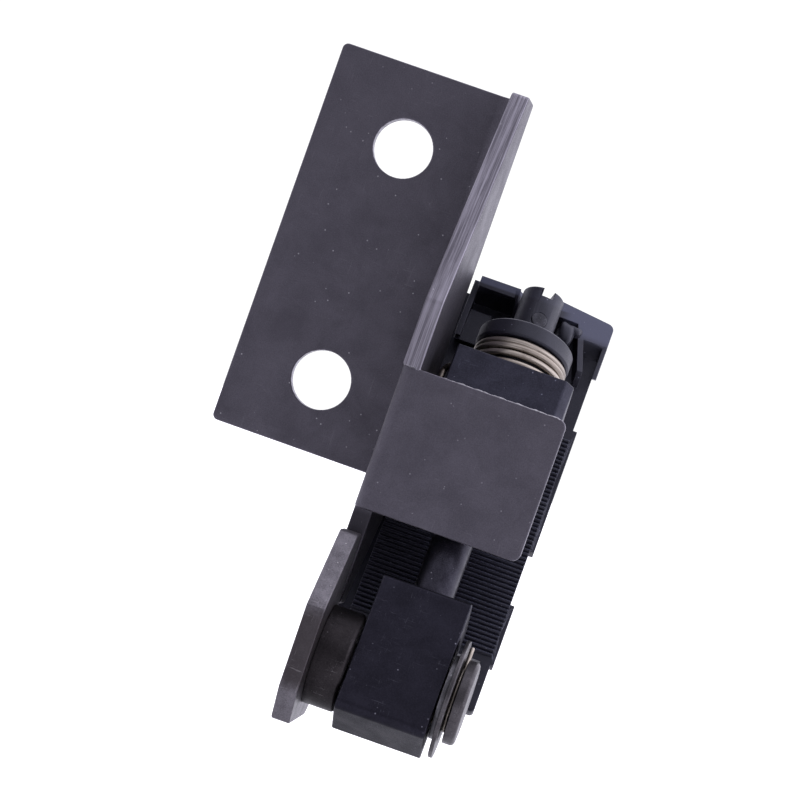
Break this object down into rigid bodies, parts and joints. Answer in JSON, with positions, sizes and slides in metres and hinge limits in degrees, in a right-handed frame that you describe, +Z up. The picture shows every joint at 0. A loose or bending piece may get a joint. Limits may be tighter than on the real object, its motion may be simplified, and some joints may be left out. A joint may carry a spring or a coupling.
{
  "type": "door closer",
  "caption": "Spring door closer: bent steel bracket with a two-bolt plate, leaning spring-loaded spindle with slotted spool, ribbed guard, knuckle and swinging lever.",
  "frame": {"origin": "midway between the two bolt holes, on the face of the bracket that lies against the wall", "axes": "+Z up along the long side of the bracket, +X from the bolt holes towards the mechanism, +Y out of the wall face of the plate, into the wall"},
  "size_m": [0.0525, 0.0496, 0.0952],
  "materials": {
    "phosphated_steel": "dark phosphate, matt, fine speckle and scratches",
    "lever_steel": "thin worn phosphate on sheared steel plate",
    "black_steel": "black oxide, satin, light specks",
    "bare_steel": "turned steel, dull, lightly oiled",
    "zinc_steel": "dull zinc",
    "spring_steel": "drawn wire, bright",
    "black_pin": "black oxide pin, rubbed on its ends",
    "bush_bronze": "sintered bronze, oil soaked",
    "black_plastic": "moulded black nylon, fine grain"
  },
  "bodies": {
    "bracket": {"mounting_bracket": "phosphated_steel", "hinge_block": "black_steel", "block_rivets": "bare_steel", "block_spacers": "bare_steel", "upper_bush": "bush_bronze", "lower_bush": "bush_bronze", "ribbed_guard": "black_plastic", "guard_screws": "zinc_steel", "torsion_spring": "spring_steel"},
    "spindle": {"spindle": "bare_steel", "spring_spool": "black_plastic", "spool_cross_pin": "black_pin", "spindle_washer": "zinc_steel", "spindle_clip": "spring_steel", "knuckle": "black_steel", "knuckle_set_screw": "zinc_steel", "pin_bushes": "bush_bronze"},
    "lever": {"swing_lever": "lever_steel", "lever_boss": "bare_steel", "lever_pin": "bare_steel", "side_washer": "zinc_steel", "wide_washer": "zinc_steel", "pin_clip": "spring_steel"}
  },
  "joints": [
    {"name": "spindle_turn", "type": "hinge", "parent": "bracket", "child": "spindle", "pos_m": [0.0274, -0.0127, -0.0173], "axis": [0, 0.4226, 0.9063], "range_deg": [0, 90], "stiffness_Nm_per_rad": 0.25, "springref_deg": -22.92, "deforming": ["torsion_spring"]},
    {"name": "lever_swing", "type": "hinge", "parent": "spindle", "child": "lever", "pos_m": [0.0274, -0.03003, -0.05446], "axis": [0.9997, -0.0237, 0.0111], "range_deg": [0, 35]}
  ]
}
